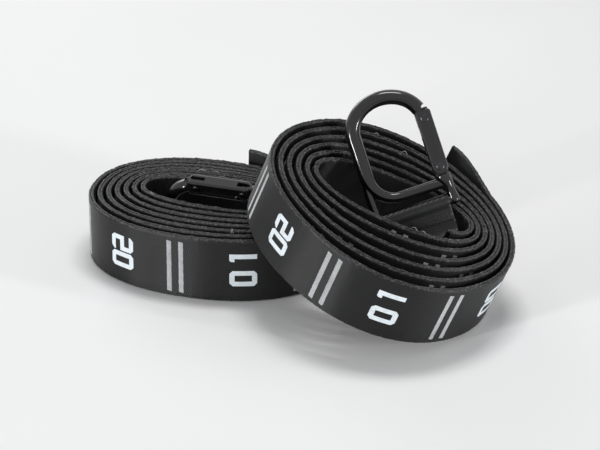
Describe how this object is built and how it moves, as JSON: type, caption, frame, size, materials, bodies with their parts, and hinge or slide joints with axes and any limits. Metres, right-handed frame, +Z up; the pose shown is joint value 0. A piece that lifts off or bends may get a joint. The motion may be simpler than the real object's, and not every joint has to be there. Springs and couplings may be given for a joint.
{
  "type": "pair of adjustment straps with carabiners",
  "caption": "Two rolled, numbered webbing straps with a carabiner on each inner end, one roll leaning on the other.",
  "frame": {"origin": "centre of the pair's footprint on the ground", "axes": "+X along the pair towards the leaning roll, +Y away from the front, +Z up"},
  "size_m": [0.2418, 0.1748, 0.1145],
  "materials": {
    "webbing": "woven, satin",
    "polished_black": "polished, black anodised",
    "steel": "smooth"
  },
  "bodies": {
    "left_strap": {"left_loop_webbing": "webbing", "left_base_webbing": "webbing"},
    "left_frame": {"left_carabiner": "polished_black", "left_gate_rivet": "steel"},
    "left_gate_body": {"left_gate": "polished_black", "left_latch_pin": "steel", "left_gate_spring": "steel"},
    "left_plunger_body": {"left_spring_plunger": "steel"},
    "right_strap": {"right_loop_webbing": "webbing", "right_base_webbing": "webbing"},
    "right_frame": {"right_carabiner": "polished_black", "right_gate_rivet": "steel"},
    "right_gate_body": {"right_gate": "polished_black", "right_latch_pin": "steel", "right_gate_spring": "steel"},
    "right_plunger_body": {"right_spring_plunger": "steel"}
  },
  "joints": [
    {"name": "left_carabiner_swing", "type": "hinge", "parent": "left_strap", "child": "left_frame", "pos_m": [-0.01101, 0.02828, 0.0245], "axis": [-0.0563, -0.2003, 0.9781], "range_deg": [-1, 6.5]},
    {"name": "left_gate_hinge", "type": "hinge", "parent": "left_frame", "child": "left_gate_body", "pos_m": [-0.03094, 0.02945, 0.04455], "axis": [-0.2647, -0.9416, -0.208], "range_deg": [0, 25], "stiffness_Nm_per_rad": 0.2, "springref_deg": -28.65},
    {"name": "left_plunger_slide", "type": "slide", "parent": "left_gate_body", "child": "left_plunger_body", "axis": [-0.9627, 0.2706, 0], "range_m": [0, 0.0005], "deforming": ["left_gate_spring"]},
    {"name": "right_carabiner_swing", "type": "hinge", "parent": "right_strap", "child": "right_frame", "pos_m": [0.06567, -0.01072, 0.05394], "axis": [0.946, 0.1561, 0.2841], "range_deg": [-2.3, 65]},
    {"name": "right_gate_hinge", "type": "hinge", "parent": "right_frame", "child": "right_gate_body", "pos_m": [0.07874, 0.00103, 0.07611], "axis": [0.0063, -0.8851, 0.4654], "range_deg": [0, 25], "stiffness_Nm_per_rad": 0.2, "springref_deg": -28.65},
    {"name": "right_plunger_slide", "type": "slide", "parent": "right_gate_body", "child": "right_plunger_body", "axis": [-0.3241, 0.4384, 0.8383], "range_m": [0, 0.0005], "deforming": ["right_gate_spring"]},
    {"name": "right_roll_lift", "type": "slide", "parent": "left_strap", "child": "right_strap", "axis": [0, 0, 1], "range_m": [0, 0.15]}
  ],
  "couplings": [
    {"joint": "left_plunger_slide", "follows": "left_gate_hinge", "m_per_rad": 0.001145},
    {"joint": "right_plunger_slide", "follows": "right_gate_hinge", "m_per_rad": 0.001145}
  ]
}
